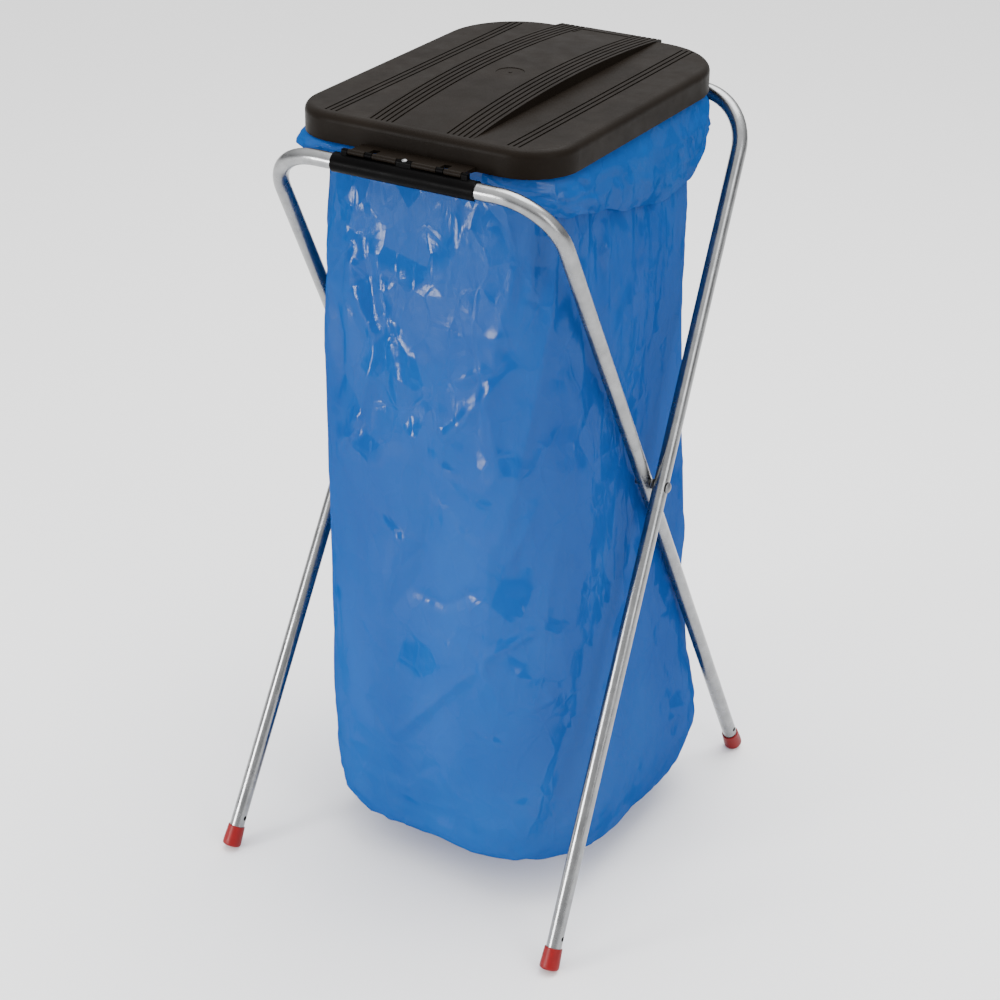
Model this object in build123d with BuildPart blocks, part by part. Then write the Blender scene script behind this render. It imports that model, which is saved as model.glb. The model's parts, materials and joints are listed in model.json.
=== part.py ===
from build123d import *
import math
import os

os.makedirs("parts", exist_ok=True)

# A folding stand for a bin bag, in millimetres. X runs along the crossbars, Y from the
# hinge side to the grip side of the lid, Z is up, and the origin is on the floor in the middle.

# Tube frames: an inner and an outer U, crossed like scissors
tube_diameter = 18.0
tube_wall = 1.0
bend_radius = 65.0
crossbar_height = 903.0
crossbar_reach = 215.5
foot_reach = 273.0
inner_top_half = 176.0
inner_foot_half = 199.6
outer_top_half = 191.0
foot_hole_diameter = 6.0
foot_hole_rise = 38.0

# Clearances
running_gap = 0.3
shaft_gap = 0.08
seat_gap = 0.15
fit_gap = 0.1
# A length that reaches past everything, for cuts that run right through
beyond = 600.0

# Pivots where the two frames cross
rivet_diameter = 6.0
rivet_head_diameter = 13.0
rivet_head_height = 3.2
rivet_tail_diameter = 9.0
rivet_tail_height = 1.6
spacer_diameter = 12.0
spacer_thickness = 1.6

# Foot caps
cap_length = 26.0
cap_floor = 4.0
cap_top_wall = 1.5
cap_flare = 1.0
cap_edge = 3.5
cap_lip_round = 0.7

# Hinge sleeve, its pins and its screw
sleeve_length = 176.0
sleeve_wall = 1.7
sleeve_slit = 9.0
pin_diameter = 3.0
pin_reach = 77.0
pin_inset = 3.5
knuckle_wall = 1.6
end_lug_centre = 74.0
end_lug_width = 7.0
centre_lug_width = 18.0
lug_cover = 0.9
screw_shank_diameter = 3.5
screw_length = 22.0
screw_head_diameter = 6.8
screw_head_height = 2.2
screw_tip = 2.0

# Lid
lid_half_width = 165.5
lid_shift = -6.0
lid_setback = 26.0
lid_overhang = 25.5
lid_front_corner = 58.0
lid_rear_corner = 91.0
lid_wall = 2.5
skirt_height = 30.5
lid_edge_round = 9.0
lid_clearance = 1.0
panel_half_width = 66.0
panel_start = 12.0
panel_rise = 12.0
panel_nose = 5.0
panel_nose_round = 3.0
groove_width = 2.4
groove_depth = 1.4
groove_pitch = 6.7
groove_front_margin = 13.0
groove_rear_margin = 22.0
side_groove_count = 3
side_groove_centre = 113.0
panel_groove_count = 5
panel_groove_centre = 47.8
recess_width = 62.0
recess_length = 26.0
recess_depth = 0.6
recess_rear_margin = 24.0
gate_diameter = 32.0
gate_nub_diameter = 4.0
gate_depth = 0.5
gate_setback = 199.0
tongue_half_width = 70.0
tongue_thickness = 2.6
tongue_stop = 3.4
lid_knuckle_rows = ((24.5, 29.0), (59.4, 20.4))
rim_ear_centre = 44.0

# Rim that carries the bag under the lid
rim_gap = 6.5
rim_wall = 2.5
rim_flange = 8.0
rim_flange_thickness = 2.5
rim_ear_width = 8.0
rim_ear_thickness = 2.6
rim_ear_drop = 0.5
rim_elbow_room = 2.0
hook_centre = 60.0
hook_width = 24.0
hook_lip = 3.7
hook_outer_drop = 3.5
hook_inner_rise = 5.0
saddle_height = 3.0

# Bag film, folded over the rim, with its cuff hanging outside
film = 0.6
mouth_rear_gap = 1.2
cuff_gap = 1.7
mouth_drop = 7.0
bag_bottom = 44.0
bag_swell = 40.0
bag_corner = 90.0
fold_count = 30
fold_depth = 6.0
fold_sizes = (1.0, 0.55, 0.8, 0.35, 0.95, 0.6, 0.45)
cuff_drop = 55.0
cuff_flare = 9.0
cuff_notch_half = 76.0

# Sizes worked out from the ones above
tube_radius = tube_diameter / 2
crossbar_top = crossbar_height + tube_radius
pivot_share = crossbar_reach / (crossbar_reach + foot_reach)
pivot_height = crossbar_height * (1 - pivot_share)
inner_pivot_half = inner_top_half + pivot_share * (inner_foot_half - inner_top_half)
outer_pivot_half = inner_pivot_half + tube_diameter + spacer_thickness + 2 * running_gap
outer_foot_half = outer_top_half + (outer_pivot_half - outer_top_half) / pivot_share
sleeve_radius = tube_radius + fit_gap + sleeve_wall
pin_radius = pin_diameter / 2
knuckle_radius = pin_radius + shaft_gap + knuckle_wall
pin_y = -crossbar_reach
pin_z = crossbar_height + sleeve_radius + running_gap + knuckle_radius
lid_front = -crossbar_reach + lid_setback
lid_rear = crossbar_reach + lid_overhang
skirt_bottom = crossbar_top + lid_clearance
lid_top = skirt_bottom + skirt_height
rim_inset = lid_wall + rim_gap
rim_bottom = crossbar_top + running_gap
rim_top = lid_top - lid_wall - film - 3 * running_gap
film_top = rim_top + running_gap + film


class Outline:
    """A rectangle seen from above, named by its edges, with its corners rounded."""

    def __init__(self, half_width, front, rear, front_corner, rear_corner, shift):
        self.half_width = half_width
        self.front = front
        self.rear = rear
        self.front_corner = front_corner
        self.rear_corner = rear_corner
        self.shift = shift

    def middle(self):
        return Vector(self.shift, (self.front + self.rear) / 2)

    def inset(self, amount):
        return Outline(
            self.half_width - amount,
            self.front + amount,
            self.rear - amount,
            self.front_corner - amount,
            self.rear_corner - amount,
            self.shift,
        )

    def face(self):
        with BuildSketch(mode=Mode.PRIVATE) as shape:
            with Locations(self.middle()):
                Rectangle(2 * self.half_width, self.rear - self.front)
            fillet(shape.vertices().group_by(Axis.Y)[0], self.front_corner)
            fillet(shape.vertices().group_by(Axis.Y)[-1], self.rear_corner)
        return shape.sketch.faces()[0]

    def draw(self, mode=Mode.ADD):
        add(self.face(), mode=mode)


lid_outline = Outline(
    lid_half_width, lid_front, lid_rear, lid_front_corner, lid_rear_corner, lid_shift
)
rim_outline = lid_outline.inset(rim_inset)


def across(centre, width):
    """The plane where a slab of this width, square to X, starts."""
    return Plane.YZ.offset(centre - width / 2)


def write(builder, label):
    builder.part.label = label
    export_step(builder.part, f"parts/{label}.step")


# Tube frames

def leg_top(top_half, facing, side):
    return Vector(side * top_half, -facing * crossbar_reach, crossbar_height)


def leg_bottom(foot_half, facing, side):
    return Vector(side * foot_half, facing * foot_reach, 0)


def leg_direction(top_half, foot_half, facing, side):
    """Unit vector from the floor up the leg."""
    return (leg_top(top_half, facing, side) - leg_bottom(foot_half, facing, side)).normalized()


def cap_seat(top_half, foot_half, facing, side):
    """The plane of a cap's underside, square to the leg, with the cap's edge on the floor."""
    up = leg_direction(top_half, foot_half, facing, side)
    lean = math.acos(up.Z)
    foot_radius = tube_radius + cap_top_wall + cap_flare
    rise = cap_edge * (1 - math.cos(lean)) + (foot_radius - cap_edge) * math.sin(lean)
    return Plane(leg_bottom(foot_half, facing, side) + up * (rise / up.Z), z_dir=up)


def leg_frame(top_half, foot_half, pivot_half, facing, pivot_gap):
    """One U of tube: crossbar on top, legs that spread towards the feet, drilled at the pivots."""
    seats = [cap_seat(top_half, foot_half, facing, side) for side in (-1, 1)]
    ends = [seat.origin + seat.z_dir * cap_floor for seat in seats]
    tops = [leg_top(top_half, facing, side) for side in (-1, 1)]
    with BuildPart() as frame:
        with BuildLine() as route:
            FilletPolyline(ends[0], tops[0], tops[1], ends[1], radius=bend_radius)
        with BuildSketch(Plane(origin=route.line @ 0, z_dir=route.line % 0)):
            Circle(tube_radius)
            Circle(tube_radius - tube_wall, mode=Mode.SUBTRACT)
        sweep()
        for side, seat in zip((-1, 1), seats):
            with Locations((side * pivot_half, 0, pivot_height)):
                Cylinder(
                    rivet_diameter / 2 + pivot_gap,
                    2 * tube_diameter,
                    rotation=(0, 90, 0),
                    mode=Mode.SUBTRACT,
                )
            # The hole above the cap is square to the leg
            up = seat.z_dir
            sideways = Vector(side, 0, 0) - up * (side * up.X)
            with Locations(Plane(seat.origin + up * foot_hole_rise, z_dir=sideways)):
                Cylinder(foot_hole_diameter / 2, 2 * tube_diameter, mode=Mode.SUBTRACT)
    return frame.part


with BuildPart() as inner_frame:
    add(leg_frame(inner_top_half, inner_foot_half, inner_pivot_half, 1, 0.0))
    with Locations((0, -crossbar_reach, crossbar_height + tube_radius)):
        Cylinder(screw_shank_diameter / 2, tube_diameter, mode=Mode.SUBTRACT)
write(inner_frame, "inner_frame_tube")

with BuildPart() as outer_frame:
    add(leg_frame(outer_top_half, outer_foot_half, outer_pivot_half, -1, shaft_gap))
write(outer_frame, "outer_frame_tube")


# Foot caps: flared cups pushed over the tube ends

cap_foot_radius = tube_radius + cap_top_wall + cap_flare
with BuildPart() as foot_cap:
    with BuildSketch(Plane.XZ):
        with BuildLine():
            Polyline(
                (0, 0),
                (cap_foot_radius, 0),
                (cap_foot_radius, cap_floor + cap_edge),
                (tube_radius + cap_top_wall, cap_length),
                (0, cap_length),
                close=True,
            )
        make_face()
    revolve(axis=Axis.Z)
    fillet(foot_cap.edges().group_by(Axis.Z)[0], cap_edge)
    fillet(foot_cap.edges().group_by(Axis.Z)[-1], cap_lip_round)
    with Locations((0, 0, cap_floor)):
        Cylinder(
            tube_radius + shaft_gap,
            cap_length,
            align=(Align.CENTER, Align.CENTER, Align.MIN),
            mode=Mode.SUBTRACT,
        )

cap_rows = (
    ("inner", inner_top_half, inner_foot_half, 1),
    ("outer", outer_top_half, outer_foot_half, -1),
)
for frame_name, top_half, foot_half, facing in cap_rows:
    for side, side_name in ((-1, "left"), (1, "right")):
        seat = cap_seat(top_half, foot_half, facing, side)
        with BuildPart() as placed_cap:
            add(foot_cap.part.moved(seat.location))
        write(placed_cap, f"{frame_name}_foot_cap_{side_name}")


# Pivots: a rivet through both tubes, with a spacer between them

def dome_middle(base, radius, height):
    """The point halfway along the arc of a round head that stands on base, as (height, radius)."""
    sphere = (radius**2 + height**2) / (2 * height)
    half_turn = math.asin(radius / sphere) / 2
    return base + height - sphere * (1 - math.cos(half_turn)), sphere * math.sin(half_turn)


pivot_origin = (0, 0, pivot_height)
rivet_head_radius = rivet_head_diameter / 2
tail_start = inner_pivot_half - tube_radius - seat_gap - rivet_tail_height
tail_end = tail_start + rivet_tail_height
head_start = outer_pivot_half + tube_radius + running_gap
for side, side_name in ((-1, "left"), (1, "right")):
    with BuildPart() as rivet:
        with BuildSketch(Plane(pivot_origin, x_dir=(side, 0, 0), z_dir=(0, -side, 0))):
            with BuildLine():
                Polyline(
                    (head_start + rivet_head_height, 0),
                    (tail_start, 0),
                    (tail_start, rivet_tail_diameter / 2),
                    (tail_end, rivet_tail_diameter / 2),
                    (tail_end, rivet_diameter / 2),
                    (head_start, rivet_diameter / 2),
                    (head_start, rivet_head_radius),
                )
                ThreePointArc(
                    (head_start, rivet_head_radius),
                    dome_middle(head_start, rivet_head_radius, rivet_head_height),
                    (head_start + rivet_head_height, 0),
                )
            make_face()
        revolve(axis=Axis(pivot_origin, (1, 0, 0)))
    write(rivet, f"pivot_rivet_{side_name}")

    spacer_start = inner_pivot_half + tube_radius + running_gap
    spacer_face = Plane((side * spacer_start, 0, pivot_height), z_dir=(side, 0, 0))
    with BuildPart() as spacer:
        with BuildSketch(spacer_face):
            Circle(spacer_diameter / 2)
            Circle(rivet_diameter / 2 + fit_gap, mode=Mode.SUBTRACT)
        extrude(amount=spacer_thickness)
    write(spacer, f"pivot_spacer_{side_name}")


# Hinge sleeve: a split tube clipped on the inner frame's crossbar, with three lugs for the pins

lug_top = pin_z + pin_radius + lug_cover
with BuildPart() as sleeve:
    with BuildSketch(across(0, sleeve_length)):
        with Locations((-crossbar_reach, crossbar_height)):
            Circle(sleeve_radius)
            Circle(tube_radius + fit_gap, mode=Mode.SUBTRACT)
    extrude(amount=sleeve_length)
    for centre, width in (
        (-end_lug_centre, end_lug_width),
        (0, centre_lug_width),
        (end_lug_centre, end_lug_width),
    ):
        with BuildSketch(across(centre, width)):
            with Locations((pin_y, pin_z)):
                Circle(knuckle_radius)
            with Locations((pin_y, pin_z)):
                Rectangle(
                    2 * knuckle_radius,
                    pin_z - crossbar_top,
                    align=(Align.CENTER, Align.MAX),
                )
            with Locations((-crossbar_reach, crossbar_height)):
                Circle(tube_radius + fit_gap, mode=Mode.SUBTRACT)
            with Locations((pin_y, lug_top)):
                Rectangle(
                    4 * knuckle_radius,
                    knuckle_radius,
                    align=(Align.CENTER, Align.MIN),
                    mode=Mode.SUBTRACT,
                )
        extrude(amount=width)
    # The slit along the underside, which lets the sleeve spring over the tube
    with Locations((0, -crossbar_reach, crossbar_height - tube_radius)):
        Box(sleeve_length, sleeve_slit, tube_radius, mode=Mode.SUBTRACT)
    for side in (-1, 1):
        with Locations((side * (pin_reach + pin_inset) / 2, pin_y, pin_z)):
            Cylinder(pin_radius, pin_reach - pin_inset, rotation=(0, 90, 0), mode=Mode.SUBTRACT)
    with Locations((0, pin_y, crossbar_height)):
        Cylinder(
            screw_shank_diameter / 2,
            2 * tube_diameter,
            align=(Align.CENTER, Align.CENTER, Align.MIN),
            mode=Mode.SUBTRACT,
        )
write(sleeve, "hinge_sleeve")

for side, side_name in ((-1, "left"), (1, "right")):
    with BuildPart() as pin:
        with Locations((side * (pin_reach + pin_inset) / 2, pin_y, pin_z)):
            Cylinder(pin_radius, pin_reach - pin_inset, rotation=(0, 90, 0))
        chamfer(pin.edges().filter_by(GeomType.CIRCLE), pin_radius / 4)
    write(pin, f"hinge_pin_{side_name}")

screw_top = lug_top + screw_head_height
screw_head_edge = lug_top + screw_head_height / 3
screw_head_radius = screw_head_diameter / 2
screw_shank_radius = screw_shank_diameter / 2
dome_height, dome_radius = dome_middle(
    screw_head_edge, screw_head_radius, screw_top - screw_head_edge
)
with BuildPart() as screw:
    with BuildSketch(Plane.XZ.offset(-pin_y)):
        with BuildLine():
            Polyline(
                (0, screw_top),
                (0, screw_top - screw_length),
                (screw_shank_radius, screw_top - screw_length + screw_tip),
                (screw_shank_radius, lug_top),
                (screw_head_radius, lug_top),
                (screw_head_radius, screw_head_edge),
            )
            ThreePointArc(
                (screw_head_radius, screw_head_edge), (dome_radius, dome_height), (0, screw_top)
            )
        make_face()
    revolve(axis=Axis((0, pin_y, 0), (0, 0, 1)))
write(screw, "sleeve_screw")


# Rim: a hoop under the lid, with ears on the hinge pins and two hooks over the far crossbar

ear_top = skirt_bottom - rim_ear_drop
ear_bottom = ear_top - rim_ear_thickness
elbow_y = pin_y + sleeve_radius + knuckle_radius + rim_elbow_room
rim_inner_front = rim_outline.front + rim_wall + rim_flange
rim_floor = rim_bottom + rim_flange_thickness
hook_front = crossbar_reach - tube_radius - 3 * running_gap - 2 * film
hook_rear = crossbar_reach + tube_radius + running_gap
saddle_top = crossbar_top + running_gap + saddle_height
with BuildPart() as rim:
    with BuildSketch(Plane.XY.offset(rim_bottom)):
        rim_outline.draw()
        rim_outline.inset(rim_wall).draw(Mode.SUBTRACT)
    extrude(amount=rim_top - rim_bottom)
    with BuildSketch(Plane.XY.offset(rim_bottom)):
        rim_outline.draw()
        rim_outline.inset(rim_wall + rim_flange).draw(Mode.SUBTRACT)
    extrude(amount=rim_flange_thickness)
    for side in (-1, 1):
        with BuildSketch(across(side * rim_ear_centre, rim_ear_width)):
            with BuildLine():
                Polyline(
                    (pin_y, pin_z + rim_ear_thickness / 2),
                    (elbow_y, ear_top),
                    (rim_outline.front, ear_top),
                    (rim_outline.front, rim_floor),
                    (rim_inner_front, rim_floor),
                    (rim_inner_front, ear_bottom),
                    (elbow_y - rim_elbow_room / 2, ear_bottom),
                    (pin_y, pin_z - rim_ear_thickness / 2),
                    close=True,
                )
            make_face()
            with Locations((pin_y, pin_z)):
                Circle(knuckle_radius)
                Circle(pin_radius + shaft_gap, mode=Mode.SUBTRACT)
        extrude(amount=rim_ear_width)
        with BuildSketch(across(side * hook_centre, hook_width)):
            with BuildLine():
                Polyline(
                    (hook_front, crossbar_height + hook_inner_rise),
                    (hook_front, saddle_top),
                    (rim_outline.rear, saddle_top),
                    (rim_outline.rear, crossbar_height),
                    (rim_outline.rear - hook_lip / 3, crossbar_height - hook_outer_drop),
                    (hook_rear, crossbar_height - hook_outer_drop),
                    (hook_rear, crossbar_height + hook_inner_rise),
                    close=True,
                )
            make_face()
            with Locations((crossbar_reach, crossbar_height)):
                Circle(tube_radius + running_gap, mode=Mode.SUBTRACT)
        extrude(amount=hook_width)
write(rim, "bag_rim")


# Lid: a shallow moulded cap with an arched ribbed panel, hinged by a toothed tongue

panel_front = lid_front + panel_start
panel_end = lid_rear + panel_nose
panel_middle = (panel_front + panel_end) / 2


def arch_profile(drop, far, mode=Mode.ADD):
    """Side view between the panel's arched top face, lowered by drop, and the height far."""
    level = lid_top - drop
    with BuildLine() as side_view:
        ThreePointArc(
            (panel_front, level), (panel_middle, level + panel_rise), (panel_end, level)
        )
        Polyline((panel_end, level), (panel_end, far), (panel_front, far), (panel_front, level))
    make_face(side_view.edges(), mode=mode)


def panel_height(y):
    """Height of the panel's top face above the floor."""
    half = panel_end - panel_middle
    arch_radius = (half**2 + panel_rise**2) / (2 * panel_rise)
    sag = arch_radius - math.sqrt(arch_radius**2 - (y - panel_middle) ** 2)
    return lid_top + panel_rise - sag


with BuildPart() as lid_hollow:
    with BuildSketch(Plane.XY.offset(skirt_bottom)):
        lid_outline.inset(lid_wall).draw()
    extrude(amount=skirt_height - lid_wall)
    fillet(lid_hollow.edges().group_by(Axis.Z)[-1], lid_edge_round - lid_wall)

with BuildPart() as panel_hollow:
    with BuildSketch(across(lid_shift, 2 * (panel_half_width - lid_wall))):
        arch_profile(lid_wall, skirt_bottom)
    extrude(amount=2 * (panel_half_width - lid_wall))
    with BuildSketch(Plane.XY.offset(skirt_bottom)):
        lid_outline.inset(lid_wall).draw()
    extrude(amount=skirt_height + panel_rise, mode=Mode.INTERSECT)

with BuildPart() as lid:
    with BuildSketch(Plane.XY.offset(skirt_bottom)):
        lid_outline.draw()
    extrude(amount=skirt_height)
    fillet(lid.edges().group_by(Axis.Z)[-1], lid_edge_round)
    with BuildSketch(across(lid_shift, 2 * panel_half_width)):
        arch_profile(0, lid_top - lid_edge_round)
    extrude(amount=2 * panel_half_width)
    nose = lid.edges().filter_by(Axis.X).filter_by_position(Axis.Y, panel_end, panel_end + 1)
    fillet(nose, panel_nose_round)
    add(lid_hollow.part, mode=Mode.SUBTRACT)
    add(panel_hollow.part, mode=Mode.SUBTRACT)
    # Grooves along both edges of the panel, which follow its arch
    groove_offsets = [
        groove_pitch * (i - (panel_groove_count - 1) / 2) for i in range(panel_groove_count)
    ]
    for side in (-1, 1):
        for offset in groove_offsets:
            groove_middle = lid_shift + side * panel_groove_centre + offset
            with BuildSketch(across(groove_middle, groove_width)):
                arch_profile(groove_depth, lid_top + 2 * panel_rise)
            extrude(amount=groove_width, mode=Mode.SUBTRACT)
    # A shallow bare recess by the grip edge, and the round mark of the mould's gate
    with BuildSketch(across(lid_shift, recess_width)):
        arch_profile(recess_depth, lid_top + 2 * panel_rise)
        with Locations((lid_rear - recess_rear_margin, lid_top)):
            Rectangle(recess_length, 4 * panel_rise, mode=Mode.INTERSECT)
    extrude(amount=recess_width, mode=Mode.SUBTRACT)
    gate_y = lid_front + gate_setback
    with BuildSketch(Plane.XY.offset(panel_height(gate_y) - gate_depth)):
        with Locations((lid_shift, gate_y)):
            Circle(gate_diameter / 2)
            Circle(gate_nub_diameter / 2, mode=Mode.SUBTRACT)
    extrude(amount=panel_rise, mode=Mode.SUBTRACT)
    # Straight grooves on the flat sides
    side_start = lid_front + groove_front_margin
    side_end = lid_rear - groove_rear_margin
    with Locations((lid_shift, (side_start + side_end) / 2, lid_top)):
        with GridLocations(2 * side_groove_centre, 0, 2, 1):
            with GridLocations(groove_pitch, 0, side_groove_count, 1):
                Box(groove_width, side_end - side_start, 2 * groove_depth, mode=Mode.SUBTRACT)
    # The tongue in front of the skirt, with knuckles on the hinge pins
    with BuildSketch(across(0, 2 * tongue_half_width)):
        with BuildLine():
            Polyline(
                (lid_front + lid_wall, skirt_bottom),
                (lid_front, skirt_bottom),
                (pin_y + tongue_stop, pin_z - tongue_thickness / 2),
                (pin_y + tongue_stop, pin_z + tongue_thickness / 2),
                (lid_front, skirt_bottom + 2 * tongue_thickness),
                (lid_front + lid_wall, skirt_bottom + 2 * tongue_thickness),
                close=True,
            )
        make_face()
    extrude(amount=2 * tongue_half_width)
    for side in (-1, 1):
        for centre, width in lid_knuckle_rows:
            with BuildSketch(across(side * centre, width)):
                with Locations((pin_y, pin_z)):
                    Circle(knuckle_radius)
                    Rectangle(
                        2 * tongue_stop,
                        tongue_thickness,
                        align=(Align.MIN, Align.CENTER),
                    )
                    Circle(pin_radius + shaft_gap, mode=Mode.SUBTRACT)
            extrude(amount=width)
        # Room for the rim's ear
        with Locations((side * rim_ear_centre, pin_y, pin_z)):
            Box(
                rim_ear_width + 4 * running_gap,
                2 * (elbow_y - pin_y),
                4 * knuckle_radius,
                mode=Mode.SUBTRACT,
            )
    # Room for the sleeve's middle lug and the head of its screw, which the tongue swings past
    head_sweep = math.hypot(screw_head_diameter / 2, lug_top + screw_head_height - pin_z)
    with Locations((0, pin_y, pin_z)):
        Box(
            centre_lug_width + 4 * running_gap,
            2 * (head_sweep + 2 * running_gap),
            4 * knuckle_radius,
            mode=Mode.SUBTRACT,
        )
write(lid, "lid")


# Bag: film inside the rim, folded over it, with the free edge hanging as a cuff

mouth = rim_outline.inset(rim_wall + rim_flange + running_gap)
mouth.rear = crossbar_reach - tube_radius - mouth_rear_gap - 2 * film
mouth_bottom = rim_bottom - mouth_drop
over_rim = rim_outline.inset(-cuff_gap - film)


def swollen(side, front, rear, corner, shift):
    """The mouth's outline, pushed out by shares of the bag's swell."""
    radius = corner * bag_corner
    return Outline(
        mouth.half_width + side * bag_swell,
        mouth.front - front * bag_swell,
        mouth.rear + rear * bag_swell,
        radius,
        radius,
        shift * bag_swell,
    )


# Share of the way up, the outline there, and the share of the full depth of the folds
wall_rows = (
    (0.0, swollen(0.36, -0.17, -0.35, 1.31, 0.40), 0.5),
    (0.026, swollen(0.81, 0.31, 0.07, 1.35, 0.37), 0.8),
    (0.088, swollen(0.91, 0.51, 0.25, 1.30, 0.30), 0.7),
    (0.239, swollen(0.76, 0.61, 0.10, 1.20, 0.20), 0.35),
    (0.390, swollen(0.68, 0.56, -0.08, 1.10, 0.12), 0.3),
    (0.530, swollen(0.61, 0.51, -0.20, 1.03, 0.06), 0.45),
    (0.680, swollen(0.53, 0.46, -0.26, 1.0, 0.0), 0.7),
    (0.808, swollen(0.46, 0.41, -0.30, 0.98, -0.03), 1.0),
    (0.936, swollen(0.21, 0.16, -0.25, 0.82, -0.08), 0.9),
    (1.0, mouth, 0.25),
)
wall_rings = [
    (bag_bottom + share * (mouth_bottom - bag_bottom), outline, depth)
    for share, outline, depth in wall_rows
]
cuff_rings = (
    (film_top, over_rim, 0.0),
    (rim_bottom - 2 * running_gap, over_rim, 0.0),
    (rim_bottom - cuff_drop / 2, over_rim.inset(-cuff_flare / 2), 0.7),
    (rim_bottom - cuff_drop, over_rim.inset(-cuff_flare), 1.0),
)


def film_ring(height, outline, depth, inside):
    """A ring that steps in and out with the folds of the film, all moved in by inside."""
    edge = outline.face().outer_wire()
    ring = []
    for i in range(2 * fold_count):
        place = edge @ (i / (2 * fold_count))
        along = edge % (i / (2 * fold_count))
        outward = Vector(along.Y, -along.X)
        outward *= math.copysign(1, outward.dot(place - outline.middle()))
        fold = depth * fold_depth * fold_sizes[i // 2 % len(fold_sizes)] * (i % 2)
        ring.append(place - outward * (fold + inside) + Vector(0, 0, height))
    return Wire.make_polygon(ring, close=True)


def film_solid(rows, inside=0.0):
    """A solid through rings of film, with flat runs between the crests and hollows of the folds."""
    return Solid.make_loft([film_ring(*row, inside) for row in rows], ruled=True)


with BuildPart() as cuff:
    add(film_solid(cuff_rings))
    add(film_solid(cuff_rings, film), mode=Mode.SUBTRACT)
    # The cuff is open at the hinge, where the tongue and the ears reach through
    with Locations((0, 0, rim_top)):
        Box(
            2 * cuff_notch_half,
            beyond,
            beyond,
            align=(Align.CENTER, Align.MAX, Align.CENTER),
            mode=Mode.SUBTRACT,
        )

mouth_rings = (wall_rings[-1], (film_top, mouth, wall_rows[-1][-1]))
bag_floor = (bag_bottom + film, *wall_rings[0][1:])
with BuildPart() as bag:
    add(film_solid(wall_rings))
    add(film_solid(mouth_rings))
    with BuildSketch(Plane.XY.offset(film_top)):
        over_rim.draw()
    extrude(amount=-film)
    add(cuff.part)
    add(film_solid((bag_floor, *wall_rings[1:]), film), mode=Mode.SUBTRACT)
    add(film_solid(mouth_rings, film), mode=Mode.SUBTRACT)
    with Locations((0, mouth.front, film_top)):
        Box(
            2 * cuff_notch_half,
            2 * rim_inset,
            4 * film,
            align=(Align.CENTER, Align.MAX, Align.CENTER),
            mode=Mode.SUBTRACT,
        )
    # The cuff passes the bends of the outer frame with a little room
    with BuildLine() as outer_route:
        FilletPolyline(
            leg_bottom(outer_foot_half, -1, -1),
            leg_top(outer_top_half, -1, -1),
            leg_top(outer_top_half, -1, 1),
            leg_bottom(outer_foot_half, -1, 1),
            radius=bend_radius,
        )
    with BuildSketch(Plane(origin=outer_route.line @ 0, z_dir=outer_route.line % 0)):
        Circle(tube_radius + running_gap)
    sweep(mode=Mode.SUBTRACT)
write(bag, "bag")
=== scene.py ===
import json
import math
import random

import bpy
from mathutils import Matrix, Vector, noise
from mathutils.geometry import delaunay_2d_cdt


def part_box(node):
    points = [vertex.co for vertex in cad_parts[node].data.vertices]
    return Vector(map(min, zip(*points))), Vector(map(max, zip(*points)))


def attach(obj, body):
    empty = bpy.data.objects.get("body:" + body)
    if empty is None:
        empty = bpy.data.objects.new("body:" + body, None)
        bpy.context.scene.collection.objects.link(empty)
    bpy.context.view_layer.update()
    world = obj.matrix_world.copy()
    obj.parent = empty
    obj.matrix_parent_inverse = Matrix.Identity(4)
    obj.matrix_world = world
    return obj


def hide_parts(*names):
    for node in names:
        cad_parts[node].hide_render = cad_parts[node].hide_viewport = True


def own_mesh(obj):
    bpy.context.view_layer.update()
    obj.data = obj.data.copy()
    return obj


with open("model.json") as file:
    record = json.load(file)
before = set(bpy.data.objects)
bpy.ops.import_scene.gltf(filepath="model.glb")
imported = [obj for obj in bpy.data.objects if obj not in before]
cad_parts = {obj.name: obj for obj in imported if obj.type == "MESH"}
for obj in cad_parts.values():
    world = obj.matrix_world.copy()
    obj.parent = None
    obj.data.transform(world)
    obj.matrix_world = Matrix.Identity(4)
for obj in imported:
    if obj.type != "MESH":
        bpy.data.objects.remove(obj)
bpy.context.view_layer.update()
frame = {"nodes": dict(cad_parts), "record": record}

nodes = frame["nodes"]
scene = bpy.context.scene


# Camera: the photograph's place and direction, with the shift its framing needs

azimuth, elevation, roll = math.radians(32.8), math.radians(26.9), math.radians(-0.3)
target = Vector((-0.0100, -0.1958, 0.5362))
distance = 2.6326
picture_size = 1000
focal_pixels = 2354.8
principal = (408.4, 481.4)
back = Vector((
    math.sin(azimuth) * math.cos(elevation),
    -math.cos(azimuth) * math.cos(elevation),
    math.sin(elevation),
))
right = Vector((math.cos(azimuth), math.sin(azimuth), 0.0))
up = back.cross(right)
turned_right = right * math.cos(roll) + up * math.sin(roll)
turned_up = up * math.cos(roll) - right * math.sin(roll)
camera_data = bpy.data.cameras.new("camera")
camera_data.sensor_fit = "HORIZONTAL"
camera_data.sensor_width = 36.0
camera_data.lens = focal_pixels / picture_size * camera_data.sensor_width
camera_data.shift_x = (picture_size / 2 - principal[0]) / picture_size
camera_data.shift_y = (principal[1] - picture_size / 2) / picture_size
camera_data.clip_end = 50.0
camera = bpy.data.objects.new("camera", camera_data)
scene.collection.objects.link(camera)
camera.matrix_world = Matrix((
    (turned_right.x, turned_up.x, back.x, target.x + back.x * distance),
    (turned_right.y, turned_up.y, back.y, target.y + back.y * distance),
    (turned_right.z, turned_up.z, back.z, target.z + back.z * distance),
    (0, 0, 0, 1),
))
scene.camera = camera


# Shader helpers

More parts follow.
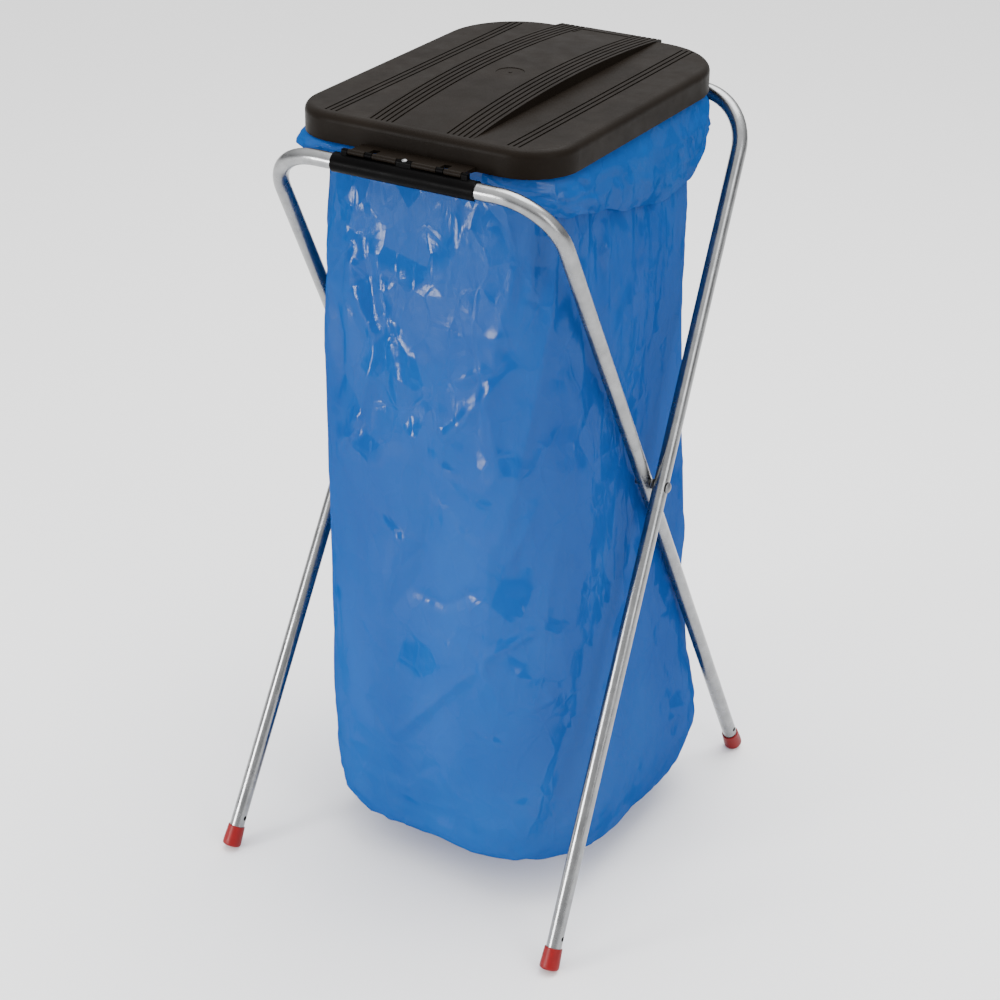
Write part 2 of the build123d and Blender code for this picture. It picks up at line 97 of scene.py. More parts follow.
class Paint:
    """A node material that is built up step by step from its shader."""

    def __init__(self, name, color, **sockets):
        self.material = bpy.data.materials.new(name)
        self.material.use_nodes = True
        self.tree = self.material.node_tree
        self.tree.nodes.clear()
        self.output = self.node("ShaderNodeOutputMaterial")
        self.shader = self.node("ShaderNodeBsdfPrincipled")
        self.link(self.shader.outputs[0], self.output.inputs["Surface"])
        self.set(self.shader, "Base Color", (*color, 1.0))
        for key, value in sockets.items():
            self.set(self.shader, key.replace("_", " "), value)

    def node(self, kind, **settings):
        made = self.tree.nodes.new(kind)
        for key, value in settings.items():
            setattr(made, key, value)
        return made

    def set(self, node, key, value):
        node.inputs[key].default_value = value

    def link(self, start, end):
        self.tree.links.new(start, end)

    def place(self, scale=(1.0, 1.0, 1.0), rotation=(0.0, 0.0, 0.0)):
        """Object coordinates, scaled and turned."""
        coordinates = self.node("ShaderNodeTexCoord")
        mapping = self.node("ShaderNodeMapping")
        self.set(mapping, "Scale", scale)
        self.set(mapping, "Rotation", rotation)
        self.link(coordinates.outputs["Object"], mapping.inputs["Vector"])
        return mapping.outputs["Vector"]

    def noise(self, scale, detail=3.0, rough=0.5, vector=None, distortion=0.0):
        made = self.node("ShaderNodeTexNoise")
        self.set(made, "Scale", scale)
        self.set(made, "Detail", detail)
        self.set(made, "Roughness", rough)
        self.set(made, "Distortion", distortion)
        self.link(vector or self.place(), made.inputs["Vector"])
        return made.outputs["Fac"]

    def ramp(self, value, *stops):
        made = self.node("ShaderNodeValToRGB")
        elements = made.color_ramp.elements
        while len(elements) < len(stops):
            elements.new(0.5)
        for element, (position, color) in zip(elements, stops):
            element.position = position
            element.color = (*color, 1.0)
        self.link(value, made.inputs["Fac"])
        return made.outputs["Color"]

    def range(self, value, low, high, from_low=0.0, from_high=1.0):
        made = self.node("ShaderNodeMapRange")
        self.set(made, "From Min", from_low)
        self.set(made, "From Max", from_high)
        self.set(made, "To Min", low)
        self.set(made, "To Max", high)
        self.link(value, made.inputs["Value"])
        return made.outputs["Result"]

    def bump(self, value, strength, distance, normal=None):
        made = self.node("ShaderNodeBump")
        self.set(made, "Strength", strength)
        self.set(made, "Distance", distance)
        self.link(value, made.inputs["Height"])
        if normal:
            self.link(normal, made.inputs["Normal"])
        return made.outputs["Normal"]


# Bright zinc-plated tube, with faint drawn marks and a mottled sheen
tube_paint = Paint("zinc_tube", (0.25, 0.25, 0.25), Metallic=1.0, Roughness=0.26)
tube_dark, tube_bright = (0.21, 0.213, 0.216), (0.28, 0.283, 0.286)
tube_paint.link(
    tube_paint.ramp(tube_paint.noise(60.0, 4.0, 0.6), (0.3, tube_dark), (0.7, tube_bright)),
    tube_paint.shader.inputs["Base Color"],
)
tube_paint.link(
    tube_paint.range(tube_paint.noise(25.0, 5.0, 0.65), 0.19, 0.33, 0.3, 0.7),
    tube_paint.shader.inputs["Roughness"],
)
tube_paint.link(
    tube_paint.bump(tube_paint.noise(900.0, 2.0), 0.08, 0.0005),
    tube_paint.shader.inputs["Normal"],
)

# Small steel parts
steel_paint = Paint("rivet_steel", (0.16, 0.162, 0.165), Metallic=1.0, Roughness=0.35)
steel_paint.link(
    steel_paint.range(steel_paint.noise(300.0, 3.0), 0.26, 0.5, 0.3, 0.7),
    steel_paint.shader.inputs["Roughness"],
)
steel_paint.link(
    steel_paint.bump(steel_paint.noise(1500.0, 2.0), 0.1, 0.0002),
    steel_paint.shader.inputs["Normal"],
)

# Red moulded foot caps, slightly uneven
cap_paint = Paint("red_plastic", (0.17, 0.0, 0.001), Roughness=0.45, Specular_IOR_Level=0.25)
cap_dark, cap_light = (0.15, 0.0, 0.001), (0.19, 0.0, 0.0015)
cap_paint.link(
    cap_paint.ramp(cap_paint.noise(120.0, 3.0), (0.3, cap_dark), (0.7, cap_light)),
    cap_paint.shader.inputs["Base Color"],
)
cap_paint.link(
    cap_paint.bump(cap_paint.noise(2200.0, 2.0), 0.12, 0.0003),
    cap_paint.shader.inputs["Normal"],
)


def moulded(name, color, light, roughness, shine):
    """Black-brown moulded plastic with a fine grain and slightly cloudy colour."""
    paint = Paint(name, color, Roughness=roughness, Specular_IOR_Level=shine)
    cloud = paint.noise(14.0, 4.0, 0.55)
    paint.link(
        paint.ramp(cloud, (0.35, color), (0.7, light)), paint.shader.inputs["Base Color"]
    )
    paint.link(
        paint.range(paint.noise(45.0, 4.0, 0.6), roughness - 0.05, roughness + 0.08, 0.3, 0.7),
        paint.shader.inputs["Roughness"],
    )
    grain = paint.bump(paint.noise(2600.0, 2.0, 0.7), 0.2, 0.0002)
    wave = paint.bump(paint.noise(9.0, 2.0), 0.15, 0.002, grain)
    paint.link(wave, paint.shader.inputs["Normal"])
    return paint


lid_dark, lid_light = (0.0062, 0.0044, 0.0030), (0.0086, 0.0063, 0.0045)
sleeve_dark, sleeve_light = (0.0012, 0.0011, 0.0012), (0.0024, 0.0022, 0.0022)
lid_paint = moulded("lid_plastic", lid_dark, lid_light, 0.42, 0.048)
sleeve_paint = moulded("sleeve_plastic", sleeve_dark, sleeve_light, 0.36, 0.022)

# Blue film: thin, glossy and translucent, a little uneven in depth of colour, finely wrinkled
film_deep, film_blue, film_pale = (0.002, 0.055, 0.235), (0.004, 0.068, 0.27), (0.008, 0.084, 0.31)
film_through = (0.0, 0.15, 0.62, 1.0)
through_share, gloss_share = 0.25, 0.018
film_paint = Paint("blue_film", film_blue, Roughness=0.5, Specular_IOR_Level=0.0)
depth = film_paint.noise(4.5, 5.0, 0.6, film_paint.place((1.0, 1.0, 0.5)), 0.6)
film_paint.link(
    film_paint.ramp(depth, (0.30, film_deep), (0.52, film_blue), (0.72, film_pale)),
    film_paint.shader.inputs["Base Color"],
)


def film_ridges(normal, scale, strength):
    """The normal with crisp ridges on it, along the edges of cells that wander."""
    stray = 1.2 / scale
    wander = film_paint.node("ShaderNodeTexNoise")
    film_paint.set(wander, "Scale", scale / 3)
    film_paint.link(film_paint.place(), wander.inputs["Vector"])
    bent = film_paint.node("ShaderNodeVectorMath", operation="MULTIPLY_ADD")
    film_paint.link(wander.outputs["Color"], bent.inputs[0])
    bent.inputs[1].default_value = (stray, stray, stray)
    film_paint.link(film_paint.place((1.0, 1.0, 0.55)), bent.inputs[2])
    cells = film_paint.node("ShaderNodeTexVoronoi", feature="DISTANCE_TO_EDGE")
    film_paint.set(cells, "Scale", scale)
    film_paint.link(bent.outputs["Vector"], cells.inputs["Vector"])
    ridge = film_paint.range(cells.outputs["Distance"], 1.0, 0.0, 0.0, 0.09)
    return film_paint.bump(ridge, strength, 0.0012, normal)


def film_facets(normal, scale, tilt, begin, full):
    """The normal, tilted cell by cell where a coarse noise rises from begin to full."""
    cells = film_paint.node("ShaderNodeTexVoronoi")
    film_paint.set(cells, "Scale", scale)
    film_paint.link(film_paint.place((1.0, 1.0, 0.8), (0.3, 0.2, scale)), cells.inputs["Vector"])
    coarse = film_paint.noise(9.0, 2.0, 0.5, film_paint.place(rotation=(scale, 0.0, 0.0)))
    amount = film_paint.range(coarse, 0.0, tilt, begin, full)
    centred = film_paint.node("ShaderNodeVectorMath", operation="SUBTRACT")
    centred.inputs[1].default_value = (0.5, 0.5, 0.5)
    film_paint.link(cells.outputs["Color"], centred.inputs[0])
    scaled = film_paint.node("ShaderNodeVectorMath", operation="SCALE")
    film_paint.link(centred.outputs["Vector"], scaled.inputs[0])
    film_paint.link(amount, scaled.inputs["Scale"])
    added = film_paint.node("ShaderNodeVectorMath", operation="ADD")
    film_paint.link(normal, added.inputs[0])
    film_paint.link(scaled.outputs["Vector"], added.inputs[1])
    return added.outputs["Vector"]


crinkle = film_paint.bump(
    film_paint.noise(30.0, 4.0, 0.55, film_paint.place((1.0, 1.0, 0.6)), 1.0), 0.35, 0.003
)
crinkle = film_ridges(crinkle, 13.0, 0.30)
crinkle = film_ridges(crinkle, 34.0, 0.22)
film_paint.link(crinkle, film_paint.shader.inputs["Normal"])
through = film_paint.node("ShaderNodeBsdfTranslucent")
film_paint.set(through, "Color", film_through)
film_paint.link(crinkle, through.inputs["Normal"])
body = film_paint.node("ShaderNodeMixShader")
film_paint.set(body, "Fac", through_share)
film_paint.link(film_paint.shader.outputs[0], body.inputs[1])
film_paint.link(through.outputs[0], body.inputs[2])

# Its gloss alone has flat crumpled facets, which catch the light one by one
tilted = film_facets(film_facets(crinkle, 24.0, 0.62, 0.50, 0.60), 60.0, 0.50, 0.51, 0.63)
unit = film_paint.node("ShaderNodeVectorMath", operation="NORMALIZE")
film_paint.link(tilted, unit.inputs[0])
gloss = film_paint.node("ShaderNodeBsdfGlossy")
film_paint.link(
    film_paint.range(film_paint.noise(9.0, 4.0, 0.6), 0.09, 0.22, 0.3, 0.7),
    gloss.inputs["Roughness"],
)
film_paint.link(unit.outputs["Vector"], gloss.inputs["Normal"])
surface = film_paint.node("ShaderNodeMixShader")
film_paint.set(surface, "Fac", gloss_share)
film_paint.link(body.outputs[0], surface.inputs[1])
film_paint.link(gloss.outputs[0], surface.inputs[2])
film_paint.link(surface.outputs[0], film_paint.output.inputs["Surface"])

paints = {
    "zinc_tube": tube_paint,
    "rivet_steel": steel_paint,
    "red_plastic": cap_paint,
    "sleeve_plastic": sleeve_paint,
    "lid_plastic": lid_paint,
    "blue_film": film_paint,
}
slots = {row["node"]: row["material_slot"] for row in frame["record"]["subparts"]}
for name, piece in nodes.items():
    piece.data.materials.clear()
    piece.data.materials.append(paints[slots[name]].material)


# Bag: one film surface, from the middle of its floor up the wall, over the rim and down the cuff

def smooth(a, b, t):
    """0 up to a and 1 from b on, with a soft step between."""
    t = min(1.0, max(0.0, (t - a) / (b - a)))
    return t * t * (3 - 2 * t)


def bend(x, y, radius, start, along):
    """The place and the outward direction some way along an arc about x, y."""
    turn = math.radians(start) + along / radius
    return x + radius * math.cos(turn), y + radius * math.sin(turn), math.cos(turn), math.sin(turn)


def rounded(share, half_width, front, rear, near, far, shift):
    """The place at a share of the way round a rounded rectangle, and the direction outwards.

    It starts at the middle of the front, and near and far are the corners' radii there and behind.
    """
    at_front, at_rear = half_width - near, half_width - far
    deep = rear - front - near - far
    near_arc, far_arc = math.pi / 2 * near, math.pi / 2 * far
    runs = (at_front, near_arc, deep, far_arc, 2 * at_rear, far_arc, deep, near_arc, at_front)
    spots = (
        lambda s: (s, front, 0.0, -1.0),
        lambda s: bend(at_front, front + near, near, -90, s),
        lambda s: (half_width, front + near + s, 1.0, 0.0),
        lambda s: bend(at_rear, rear - far, far, 0, s),
        lambda s: (at_rear - s, rear, 0.0, 1.0),
        lambda s: bend(-at_rear, rear - far, far, 90, s),
        lambda s: (-half_width, rear - far - s, -1.0, 0.0),
        lambda s: bend(-at_front, front + near, near, 180, s),
        lambda s: (s - at_front, front, 0.0, -1.0),
    )
    left = share % 1.0 * sum(runs)
    for run, spot in zip(runs, spots):
        if left <= run:
            break
        left -= run
    x, y, nx, ny = spot(min(left, run))
    return x + shift, y, nx, ny


class Facets:
    """Random flat facets over a strip that closes on itself, like the creases of crumpled film."""

    def __init__(self, seed, across, along, jitter=0.42):
        rng = random.Random(seed)
        points, heights = [], []
        for j in range(-1, along + 2):
            for i in range(across):
                x = (i + 0.5 + rng.uniform(-jitter, jitter)) / across
                y = (j + 0.5 + rng.uniform(-jitter, jitter)) / along
                height = rng.uniform(-1, 1)
                for wrap in (-1, 0, 1):
                    if -0.25 < x + wrap < 1.25:
                        points.append(Vector((x + wrap, y)))
                        heights.append(height)
        made = delaunay_2d_cdt(points, [], [], 0, 1e-7)
        self.points = made[0]
        self.heights = [heights[source[0]] for source in made[3]]
        self.across, self.along = across, along
        self.cells = {}
        for face in made[2]:
            xs = [self.points[i].x * across for i in face]
            ys = [self.points[i].y * along for i in face]
            for cx in range(math.floor(min(xs)), math.floor(max(xs)) + 1):
                for cy in range(math.floor(min(ys)), math.floor(max(ys)) + 1):
                    self.cells.setdefault((cx, cy), []).append(tuple(face))

    def at(self, x, y):
        x = x % 1.0
        for face in self.cells.get((math.floor(x * self.across), math.floor(y * self.along)), ()):
            a, b, c = (self.points[i] for i in face)
            area = (b.x - a.x) * (c.y - a.y) - (c.x - a.x) * (b.y - a.y)
            if abs(area) < 1e-12:
                continue
            u = ((b.x - x) * (c.y - y) - (c.x - x) * (b.y - y)) / area
            v = ((c.x - x) * (a.y - y) - (a.x - x) * (c.y - y)) / area
            if u >= -1e-6 and v >= -1e-6 and u + v <= 1 + 1e-6:
                heights = [self.heights[i] for i in face]
                return u * heights[0] + v * heights[1] + (1 - u - v) * heights[2]
        return 0.0


# Outlines of the hanging film, in millimetres: height, half width, front, rear, the radii of the
# near and far corners, shift
wall_rows = (
    (43.0, 164.0, -164.0, 192.0, 118.0, 118.0, 11.0),
    (50.0, 175.0, -176.0, 203.0, 120.0, 120.0, 12.0),
    (64.0, 183.0, -184.0, 214.0, 121.0, 121.0, 13.0),
    (119.8, 188.0, -190.6, 222.0, 117.0, 117.0, 17.0),
    (249.9, 176.6, -194.6, 208.5, 108.0, 108.0, 8.0),
    (379.9, 173.2, -192.4, 201.2, 99.0, 99.0, 4.8),
    (500.5, 170.4, -190.4, 196.4, 92.7, 92.7, 2.4),
    (629.7, 166.9, -188.1, 193.7, 90.0, 90.0, 0.0),
    (739.9, 164.1, -186.1, 192.1, 88.2, 88.2, -1.2),
    (850.2, 154.1, -176.1, 194.1, 73.8, 73.8, -3.2),
    (905.3, 145.7, -169.7, 203.5, 38.2, 70.6, -6.0),
)


def row_at(height, rows):
    """The outline at a height, by a smooth curve through the rows."""
    if height <= rows[0][0]:
        return rows[0][1:]
    for i in range(len(rows) - 1):
        if height <= rows[i + 1][0]:
            step = rows[i + 1][0] - rows[i][0]
            t = (height - rows[i][0]) / step
            before, after = rows[max(0, i - 1)], rows[min(len(rows) - 1, i + 2)]
            made = []
            for k in range(1, len(rows[0])):
                slope_a = (rows[i + 1][k] - before[k]) / (rows[i + 1][0] - before[0]) * step
                slope_b = (after[k] - rows[i][k]) / (after[0] - rows[i][0]) * step
                made.append(
                    (2 * t**3 - 3 * t**2 + 1) * rows[i][k] + (t**3 - 2 * t**2 + t) * slope_a
                    + (3 * t**2 - 2 * t**3) * rows[i + 1][k] + (t**3 - t**2) * slope_b
                )
            return tuple(made)
    return rows[-1][1:]


# Points round the film, the length round it, and the levels of its rings
around = 330
girth = 1290.0
floor_height, wall_low, wall_high = 42.0, wall_rows[0][0], wall_rows[-1][0]
row_count = 240
wall_heights = [wall_low + (wall_high - wall_low) * i / (row_count - 1) for i in range(row_count)]
wall_relief = [[0.0] * around for _ in wall_heights]


def crease(points, depth, width, sharp=2.0, levels=wall_heights, relief=wall_relief):
    """Adds a fold along points of (share, height) that tapers towards both of its ends."""
    row_step = levels[1] - levels[0]
    places = [(share * girth, height) for share, height in points]
    lengths = [math.dist(a, b) for a, b in zip(places, places[1:])]
    total = sum(lengths)
    done = 0.0
    best = {}
    for (ax, ay), (bx, by), length in zip(places, places[1:], lengths):
        low_row = max(0, math.floor((min(ay, by) - width - levels[0]) / row_step))
        high_row = min(len(levels) - 1, math.ceil((max(ay, by) + width - levels[0]) / row_step))
        low_column = math.floor((min(ax, bx) - width) / girth * around)
        high_column = math.ceil((max(ax, bx) + width) / girth * around)
        for r in range(low_row, high_row + 1):
            for c in range(low_column, high_column + 1):
                px, py = c / around * girth - ax, levels[r] - ay
                along = min(1.0, max(0.0, (px * (bx - ax) + py * (by - ay)) / length**2))
                far = math.hypot(px - along * (bx - ax), py - along * (by - ay))
                if far < width:
                    t = (done + along * length) / total
                    lift = (1 - far / width) ** sharp * (4 * t * (1 - t)) ** 0.6
                    key = (r, c % around)
                    best[key] = max(best.get(key, 0.0), lift)
        done += length
    for (r, c), lift in best.items():
        relief[r][c] += depth * lift


# Folds that the photograph shows: (share, height) points, height of the fold, half its width
folds = (
    (((0.113, 880), (0.105, 790), (0.094, 735)), 2.6, 13),
    (
        (
            (0.134, 860), (0.130, 796), (0.121, 736), (0.110, 661), (0.099, 598), (0.086, 517),
            (0.071, 450),
        ),
        4.2, 20,
    ),
    (((0.070, 490), (0.068, 403), (0.061, 280)), 5.0, 17),
    (((0.034, 885), (0.033, 808), (0.021, 760)), 2.2, 14),
    (((0.171, 880), (0.164, 796), (0.156, 736), (0.159, 640), (0.149, 600), (0.146, 530)), 3.6, 17),
    (((0.082, 890), (0.089, 799), (0.088, 740)), 2.0, 12),
    (((0.201, 880), (0.199, 754), (0.190, 700)), 2.8, 14),
    (((0.300, 880), (0.302, 802), (0.311, 660)), 2.6, 13),
    (((0.240, 880), (0.244, 811), (0.236, 680)), 2.6, 13),
    (((0.270, 860), (0.272, 780), (0.268, 690)), 2.0, 12),
    (((0.925, 790), (0.932, 748), (0.956, 700), (0.956, 676), (0.939, 601), (0.907, 530)), 7.5, 24),
    (((0.900, 740), (0.915, 690), (0.915, 640), (0.900, 590)), -6.0, 24),
    (((0.010, 575), (0.050, 635), (0.094, 700)), 4.5, 20),
    (((0.035, 665), (0.068, 692)), 2.2, 10),
    (((0.012, 560), (0.007, 496), (-0.006, 412), (-0.045, 340)), -5.0, 26),
    (((0.056, 330), (0.112, 382)), 4.0, 12),
    (((-0.036, 185), (0.000, 238), (0.034, 289), (0.068, 330)), 5.0, 15),
    (((0.262, 360), (0.263, 334), (0.305, 184), (0.330, 90)), 3.4, 14),
    (((-0.014, 394), (0.021, 388), (0.068, 428)), -4.0, 18),
    (((0.112, 540), (0.096, 490), (0.076, 440)), 4.0, 15),
    (((0.860, 880), (0.868, 780), (0.880, 640)), 2.6, 15),
    (((0.200, 520), (0.205, 400), (0.215, 300)), 2.0, 18),
)
for points, height, width in folds:
    crease(points, height, width)

rng = random.Random(41)


def add_gathers(count):
    """Gathers that hang down from the mouth, flatter at the front."""
    for i in range(count):
        share = (i + rng.uniform(-0.35, 0.35)) / count
        length = rng.uniform(70, 260)
        lean = rng.uniform(-0.012, 0.012)
        top = rng.uniform(880, 925)
        front = share < 0.10 or share > 0.90
        middle, end = (share + lean / 2, top - length / 2), (share + lean, top - length)
        flatter = 0.3 if front else 1.0
        crease(((share, top), middle, end), rng.uniform(1.0, 3.0) * flatter, rng.uniform(10, 17))


def add_tension_folds(count):
    """Long soft folds, some out and some in."""
    for _ in range(count):
        share, height = rng.random(), rng.uniform(240, 800)
        length, lean = rng.uniform(90, 240), rng.uniform(-0.03, 0.03)
        start = (share - lean, height + length / 2)
        end = (share + lean * 0.6, height - length / 2)
        crease((start, (share, height), end), rng.choice((-2.8, 2.2, 3.2)), rng.uniform(14, 26))


def add_short_creases(count):
    """Short creases that grow denser towards the floor."""
    for _ in range(count):
        share, height = rng.random(), 48 + 780 * rng.random() ** 2.6
        length, turn = rng.uniform(14, 60), rng.uniform(-1.3, 1.3)
        across, down = math.sin(turn) * length / 2 / girth, math.cos(turn) * length / 2
        start, end = (share - across, height + down), (share + across, height - down)
        relief = rng.choice((-2.1, 2.1)) * rng.uniform(0.5, 1.2)
        crease((start, end), relief, rng.uniform(6, 11), 1.5)


add_gathers(46)
add_tension_folds(70)
add_short_creases(300)

# Facets of the film, from large ones to small, and the ones near its floor
big = Facets(3, 11, 8)
mid = Facets(7, 30, 22)
tight = Facets(11, 74, 50)
low = Facets(5, 46, 60)
big_relief, mid_relief, tight_relief, low_relief = 3.8, 0.7, 0.10, 1.7
patch_mid_relief, patch_tight_relief = 3.2, 1.6
# Patches of small sharp wrinkles that catch the light: share, height, radius
patches = (
    (0.983, 823, 34), (0.006, 690, 30), (0.030, 722, 24), (0.079, 718, 26), (0.068, 540, 24),
    (0.051, 490, 26), (0.941, 811, 24), (0.938, 780, 20), (0.049, 832, 22), (0.004, 90, 50),
    (0.037, 150, 34), (0.905, 720, 26), (0.261, 508, 22), (0.095, 150, 40), (0.968, 100, 40),
    (0.220, 736, 22), (0.310, 140, 50), (0.550, 640, 40), (0.680, 480, 40), (0.800, 760, 40),
    (0.440, 300, 44), (0.740, 200, 50), (0.600, 830, 36),
)


def patch_share(share, height):
    """1 in the middle of a patch and 0 outside them all."""
    most = 0.0
    for place, level, radius in patches:
        across = (share - place + 0.5) % 1.0 - 0.5
        far = math.hypot(across * girth, height - level) / radius
        if far < 1:
            most = max(most, (1 - far * far) ** 2)
    return most


def crumple(share, height):
    """How far the facets of the film lie outside its smooth shape, in millimetres."""
    lowest, reach_up = 40.0, 870.0
    v = (height - lowest) / reach_up
    foot = 1 - smooth(0.05, 0.24, v)
    middle = 1 - smooth(0.86, 1.0, v)
    patch = patch_share(share, height)
    out = (big_relief * big.at(share + 0.03 * v, v) + mid_relief * mid.at(share, v)) * middle
    tight_here = (tight_relief + patch_tight_relief * patch) * tight.at(share, v)
    out += (tight_here + patch_mid_relief * patch * mid.at(share, v)) * middle
    out += low_relief * foot * low.at(share, v)
    return out


def wall_point(i, r):
    """A point of the wall: column i of ring r, in metres."""
    height = wall_heights[r]
    share = i / around
    # Its relief fades towards the rim
    fade = 1 - 0.75 * smooth(870, 905, height)
    # The side between the legs hangs calmer below its gathers
    side = smooth(0.14, 0.17, share) * (1 - smooth(0.40, 0.43, share))
    calm = side * (1 - smooth(650, 820, height))
    inset = 1.5
    out = crumple(share, height) + wall_relief[r][i] * fade * (1 - 0.45 * calm) - inset
    x, y, nx, ny = rounded(share, *row_at(height, wall_rows))
    return Vector((x + nx * out, y + ny * out, height)) / 1000


# The film's floor, sagging a little towards its edge, and its wall
rings = []
floor_rings = 14
floor_middle = (0.004, 0.012)
for k in range(floor_rings):
    size = max(k / floor_rings, 0.004)
    ring = []
    for i in range(around):
        edge = wall_point(i, 0)
        sag = 1.3 * low.at(i / around, size * 0.2) * size + 1.5 * size**6
        flat = Vector((*floor_middle, 0)).lerp(Vector((edge.x, edge.y, 0)), size)
        ring.append(Vector((flat.x, flat.y, (floor_height + sag) / 1000)))
    rings.append(ring)
for r in range(row_count):
    rings.append([wall_point(i, r) for i in range(around)])

# Over the rim: straight up inside it, across its top, and down outside it as the cuff
film_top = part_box("bag_rim")[1].z * 1000 + 0.5
mouth_ring = len(rings) - 1
mouth_row = wall_rows[-1][1:]
mouth_levels = (912.0, 920.0, 930.0, film_top - 0.4)
ripple, ripple_count = 0.4, 47
for height in mouth_levels:
    ring = []
    for i in range(around):
        x, y, nx, ny = rounded(i / around, *mouth_row)
        out = ripple * math.sin(2 * math.pi * ripple_count * i / around) - ripple
        ring.append(Vector((x + nx * out, y + ny * out, height)) / 1000)
    rings.append(ring)
first_over = len(rings) - 1
# The cuff's outline: half width, front, rear, the radii of the near and far corners, shift
over_row = (157.4, -181.4, 232.9, 49.9, 82.9, -6.0)
# Its lower edge: share of the way round, height, how far the cuff stands out there
cuff_edges = (
    (0.00, 893.0, 4.0), (0.06, 893.0, 4.0), (0.10, 880.0, 8.0), (0.135, 864.0, 10.0),
    (0.18, 851.0, 11.0), (0.23, 832.0, 12.0), (0.29, 818.0, 12.0), (0.335, 824.0, 12.0),
    (0.375, 862.0, 11.0), (0.42, 868.0, 8.0), (0.50, 850.0, 9.0), (0.58, 868.0, 8.0),
    (0.63, 862.0, 11.0), (0.68, 828.0, 12.0), (0.76, 826.0, 12.0), (0.83, 858.0, 11.0),
    (0.87, 892.0, 15.0), (0.905, 896.0, 18.0), (0.935, 895.0, 10.0), (1.00, 893.0, 4.0),
)
cuff_facets = Facets(23, 40, 4)
cuff_rows = 36
cuff_depth = 90.0
skirt_edge = 914.0
cuff_levels = [cuff_depth * k / (cuff_rows - 1) for k in range(cuff_rows)]
cuff_relief = [[0.0] * around for _ in cuff_levels]
crease_count, puff_count = 150, 26
for _ in range(crease_count):
    share, level = rng.random(), rng.uniform(28, 88)
    length, lean = rng.uniform(18, 60), rng.choice((-1, 1, 1)) * rng.uniform(0.3, 1.25)
    across, down = math.sin(lean) * length / 2 / girth, math.cos(lean) * length / 2
    start, end = (share - across, level - down), (share + across, level + down)
    relief = rng.choice((-1, 1)) * rng.uniform(0.8, 3.0)
    crease((start, end), relief, rng.uniform(5, 11), 1.6, cuff_levels, cuff_relief)
for i in range(puff_count):
    share = (i + rng.uniform(-0.4, 0.4)) / puff_count
    start, end = (share, 25), (share + rng.uniform(-0.015, 0.03), 95)
    relief = rng.uniform(1.5, 4.0)
    crease((start, end), relief, rng.uniform(12, 22), 1.6, cuff_levels, cuff_relief)


def cuff_at(share):
    """The height of the cuff's free edge at a share of the way round, and how far it stands out."""
    for a, b in zip(cuff_edges, cuff_edges[1:]):
        if share <= b[0]:
            t = smooth(0, 1, (share - a[0]) / (b[0] - a[0]))
            return a[1] + (b[1] - a[1]) * t, a[2] + (b[2] - a[2]) * t
    return cuff_edges[-1][1:]


for k in range(cuff_rows):
    t = k / (cuff_rows - 1)
    ring = []
    for i in range(around):
        share = i / around
        edge, swell = cuff_at(share)
        edge += 3.0 * noise.noise(Vector((share * 14.0, 0.3, 8.0)))
        height = film_top + (edge - film_top) * t
        # It hugs the rim's upper part, swells out below the lid and turns in again at its edge
        below = max(0.0, skirt_edge - height) / max(1.0, skirt_edge - edge)
        puff = swell * math.sin(math.pi * min(1.0, 0.78 * below)) ** 0.8 if below else 0.0
        loose = smooth(0.0, 0.4, below)
        turn_in = 2.5 * smooth(0.82, 1.0, below)
        wrinkle = loose * (1.6 * cuff_facets.at(share + 0.02 * t, t) + cuff_relief[k][i])
        x, y, nx, ny = rounded(share, *over_row)
        out = 0.5 + max(puff + wrinkle - turn_in, -0.3)
        ring.append(Vector((x + nx * out, y + ny * out, height)) / 1000)
    rings.append(ring)

notch = 0.077  # half the width of the cut over the hinge, in metres


def film_piece(name, first, last):
    """The film between two rings. It is cut away over the hinge, for the tongue and the ears."""
    vertices = [point for ring in rings[first:last + 1] for point in ring]
    faces = []
    for r in range(last - first):
        for i in range(around):
            a, b = r * around + i, r * around + (i + 1) % around
            face = (a, b, b + around, a + around)
            middle = sum((vertices[v] for v in face), Vector()) / 4
            if first + r < first_over or abs(middle.x) >= notch or middle.y >= 0:
                faces.append(face)
    if first == 0:
        faces.append(tuple(reversed(range(around))))
    mesh = bpy.data.meshes.new(name)
    mesh.from_pydata([tuple(v) for v in vertices], [], faces)
    mesh.validate()
    mesh.update()
    mesh.shade_smooth()
    mesh.materials.append(film_paint.material)
    piece = bpy.data.objects.new(name, mesh)
    scene.collection.objects.link(piece)
    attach(piece, "rim")
    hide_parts("bag")
    return piece


# The hanging part and the cuff, two pieces that both ride on the rim; the hanging part gets a mesh
# of its own
bag = film_piece("bag_film", 0, mouth_ring)
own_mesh(bag)
film_piece("bag_cuff", mouth_ring, len(rings) - 1)


# Studio: pale floor, soft lights

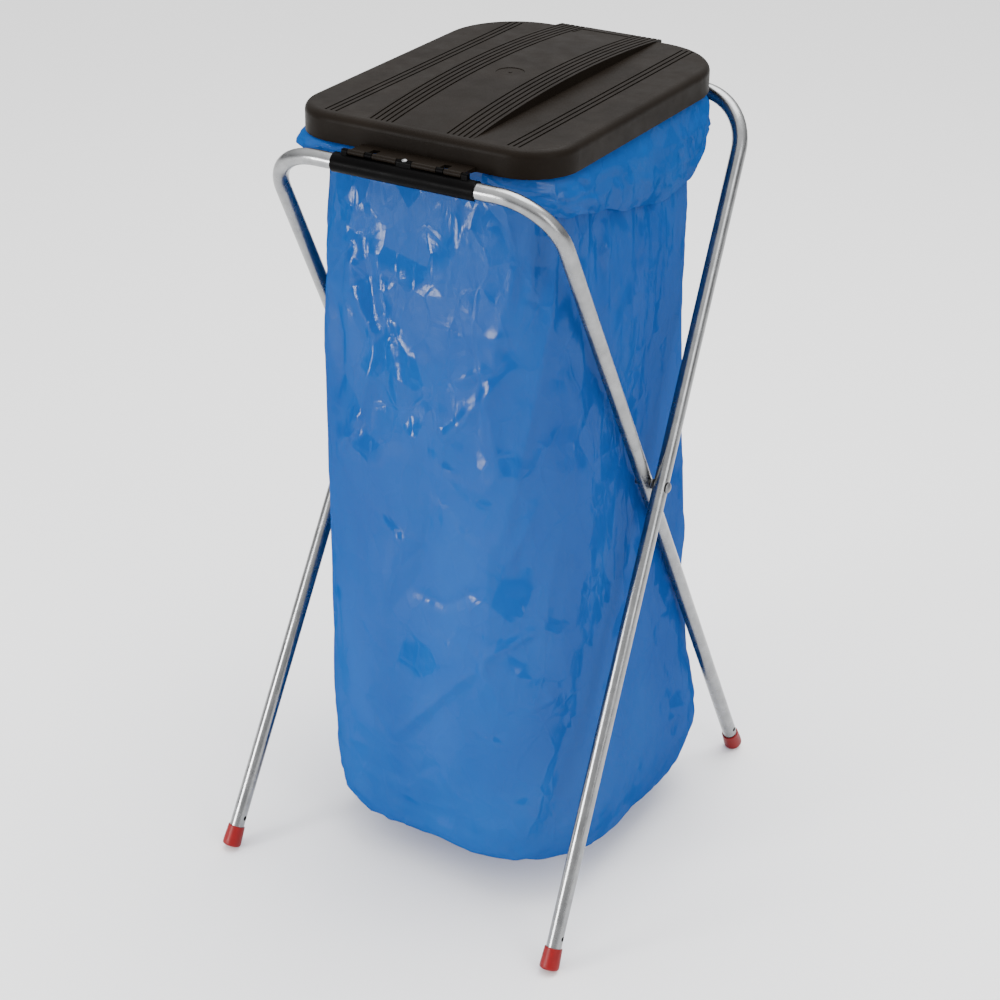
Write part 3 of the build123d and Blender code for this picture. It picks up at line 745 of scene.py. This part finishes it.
floor_mesh = bpy.data.meshes.new("floor")
reach = 12.0
corners = [(-reach, -reach, 0), (reach, -reach, 0), (reach, reach, 0), (-reach, reach, 0)]
floor_mesh.from_pydata(corners, [], [(0, 1, 2, 3)])
floor = bpy.data.objects.new("floor", floor_mesh)
scene.collection.objects.link(floor)
floor_paint = Paint("floor", (0.9, 0.9, 0.9), Roughness=0.8)
floor_mesh.materials.append(floor_paint.material)

# The room: bright overhead, dimmer round the horizon, as under a large soft ceiling light
world = bpy.data.worlds.new("world")
scene.world = world
world.use_nodes = True
room = world.node_tree
background = room.nodes["Background"]
ray = room.nodes.new("ShaderNodeTexCoord")
split = room.nodes.new("ShaderNodeSeparateXYZ")
sky = room.nodes.new("ShaderNodeValToRGB")
room.links.new(ray.outputs["Generated"], split.inputs["Vector"])
room.links.new(split.outputs["Z"], sky.inputs["Fac"])
room.links.new(sky.outputs["Color"], background.inputs["Color"])
sky.color_ramp.elements[0].position = 0.05
sky.color_ramp.elements[0].color = (0.21, 0.21, 0.215, 1.0)
sky.color_ramp.elements[1].position = 0.75
sky.color_ramp.elements[1].color = (1.0, 1.0, 1.0, 1.0)
background.inputs["Strength"].default_value = 1.9


def area_light(name, place, aim, width, height, power, spread=180.0):
    """A rectangular light in metres and watts that faces aim."""
    data = bpy.data.lights.new(name, "AREA")
    data.shape = "RECTANGLE"
    data.size, data.size_y, data.energy = width, height, power
    data.spread = math.radians(spread)
    made = bpy.data.objects.new(name, data)
    scene.collection.objects.link(made)
    made.location = place
    made.rotation_mode = "QUATERNION"
    made.rotation_quaternion = (Vector(aim) - Vector(place)).to_track_quat("-Z", "Y")


middle_of_stand = (0.0, 0.0, 0.5)
area_light("key", (-1.65, -3.0, 1.0), middle_of_stand, 0.9, 0.9, 85.0)
area_light("low", (-1.4, -2.6, 0.4), (0.0, -0.15, 0.2), 0.6, 0.4, 0.8, 30.0)
area_light("side", (2.9, -1.2, 1.6), middle_of_stand, 1.2, 1.8, 30.0)
area_light("top", (0.2, 0.6, 3.2), middle_of_stand, 2.4, 2.4, 120.0)
